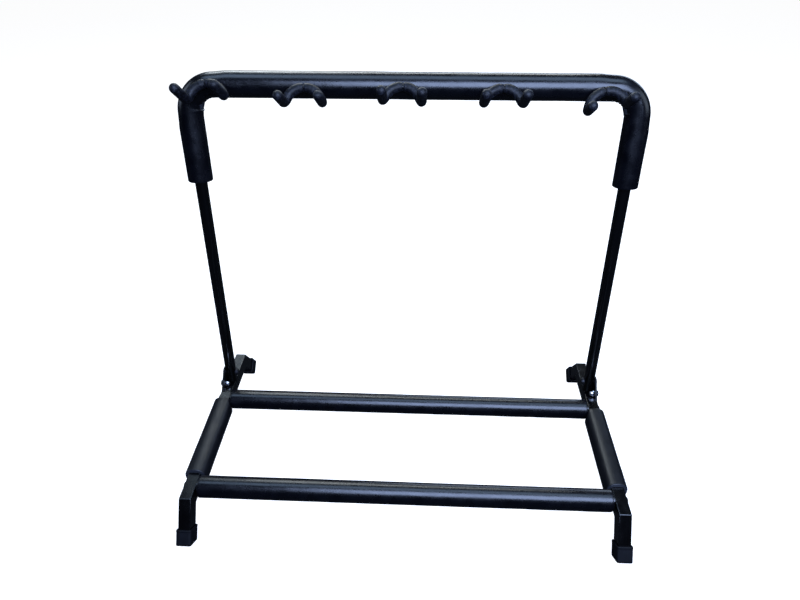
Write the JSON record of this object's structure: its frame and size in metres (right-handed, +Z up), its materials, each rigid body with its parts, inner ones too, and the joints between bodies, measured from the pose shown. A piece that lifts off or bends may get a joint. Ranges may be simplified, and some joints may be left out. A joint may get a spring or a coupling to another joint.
{
  "type": "folding guitar rack",
  "caption": "Folding floor rack for guitars: padded crossbars on splayed feet carry the bodies, a hinged padded frame with padded yokes takes the necks.",
  "frame": {"origin": "on the ground, under the middle of the base, half-way between the side rails", "axes": "+X to the rack's right seen from the front, +Y to its rear, +Z up"},
  "size_m": [0.7364, 0.4412, 0.6521],
  "materials": {
    "frame_paint": "gloss black powder coat",
    "foam": "satin blue-black closed-cell foam",
    "yoke_foam": "matt blue-black foam",
    "rubber": "matt moulded rubber",
    "chrome": "bright chrome",
    "zinc": "bright zinc plate",
    "black_fastener": "black oxide"
  },
  "bodies": {
    "base": {"left_side_rail": "frame_paint", "right_side_rail": "frame_paint", "foot_cap_front_left": "rubber", "foot_cap_front_right": "rubber", "foot_cap_rear_left": "rubber", "foot_cap_rear_right": "rubber", "left_rail_foam": "foam", "right_rail_foam": "foam", "left_pivot_ear": "frame_paint", "right_pivot_ear": "frame_paint", "front_crossbar": "frame_paint", "rear_crossbar": "frame_paint", "front_crossbar_foam": "foam", "rear_crossbar_foam": "foam", "crossbar_end_plugs": "zinc", "crossbar_bolts": "black_fastener", "pivot_bolts": "black_fastener", "pivot_washers": "black_fastener", "pivot_nuts": "black_fastener", "stop_bolts": "chrome", "stop_nuts": "chrome"},
    "back_frame": {"back_frame_tube": "frame_paint", "top_foam": "foam", "yoke_sockets": "zinc"},
    "yoke_1": {"yoke_1_rod": "frame_paint", "yoke_1_left_sleeve": "yoke_foam", "yoke_1_right_sleeve": "yoke_foam"},
    "yoke_2": {"yoke_2_rod": "frame_paint", "yoke_2_left_sleeve": "yoke_foam", "yoke_2_right_sleeve": "yoke_foam"},
    "yoke_3": {"yoke_3_rod": "frame_paint", "yoke_3_left_sleeve": "yoke_foam", "yoke_3_right_sleeve": "yoke_foam"},
    "yoke_4": {"yoke_4_rod": "frame_paint", "yoke_4_left_sleeve": "yoke_foam", "yoke_4_right_sleeve": "yoke_foam"},
    "yoke_5": {"yoke_5_rod": "frame_paint", "yoke_5_left_sleeve": "yoke_foam", "yoke_5_right_sleeve": "yoke_foam"}
  },
  "joints": [
    {"name": "frame_fold", "type": "hinge", "parent": "base", "child": "back_frame", "pos_m": [0, 0.0997, 0.097], "axis": [1, 0, 0], "range_deg": [0, 99.1]},
    {"name": "yoke_1_swivel", "type": "hinge", "parent": "back_frame", "child": "yoke_1", "pos_m": [-0.305, 0.184, 0.62329], "axis": [0, -0.9563, 0.2924], "range_deg": [-35.5, 24.5]},
    {"name": "yoke_2_swivel", "type": "hinge", "parent": "back_frame", "child": "yoke_2", "pos_m": [-0.158, 0.184, 0.62329], "axis": [0, -0.9877, 0.1564], "range_deg": [-30.5, 29.5]},
    {"name": "yoke_3_swivel", "type": "hinge", "parent": "back_frame", "child": "yoke_3", "pos_m": [-0.011, 0.184, 0.62329], "axis": [0, -0.9703, 0.2419], "range_deg": [-28, 32]},
    {"name": "yoke_4_swivel", "type": "hinge", "parent": "back_frame", "child": "yoke_4", "pos_m": [0.136, 0.184, 0.62329], "axis": [0, -0.9781, 0.2079], "range_deg": [-30, 30]},
    {"name": "yoke_5_swivel", "type": "hinge", "parent": "back_frame", "child": "yoke_5", "pos_m": [0.283, 0.184, 0.62329], "axis": [0, -0.9945, 0.1045], "range_deg": [-42.5, 17.5]}
  ]
}
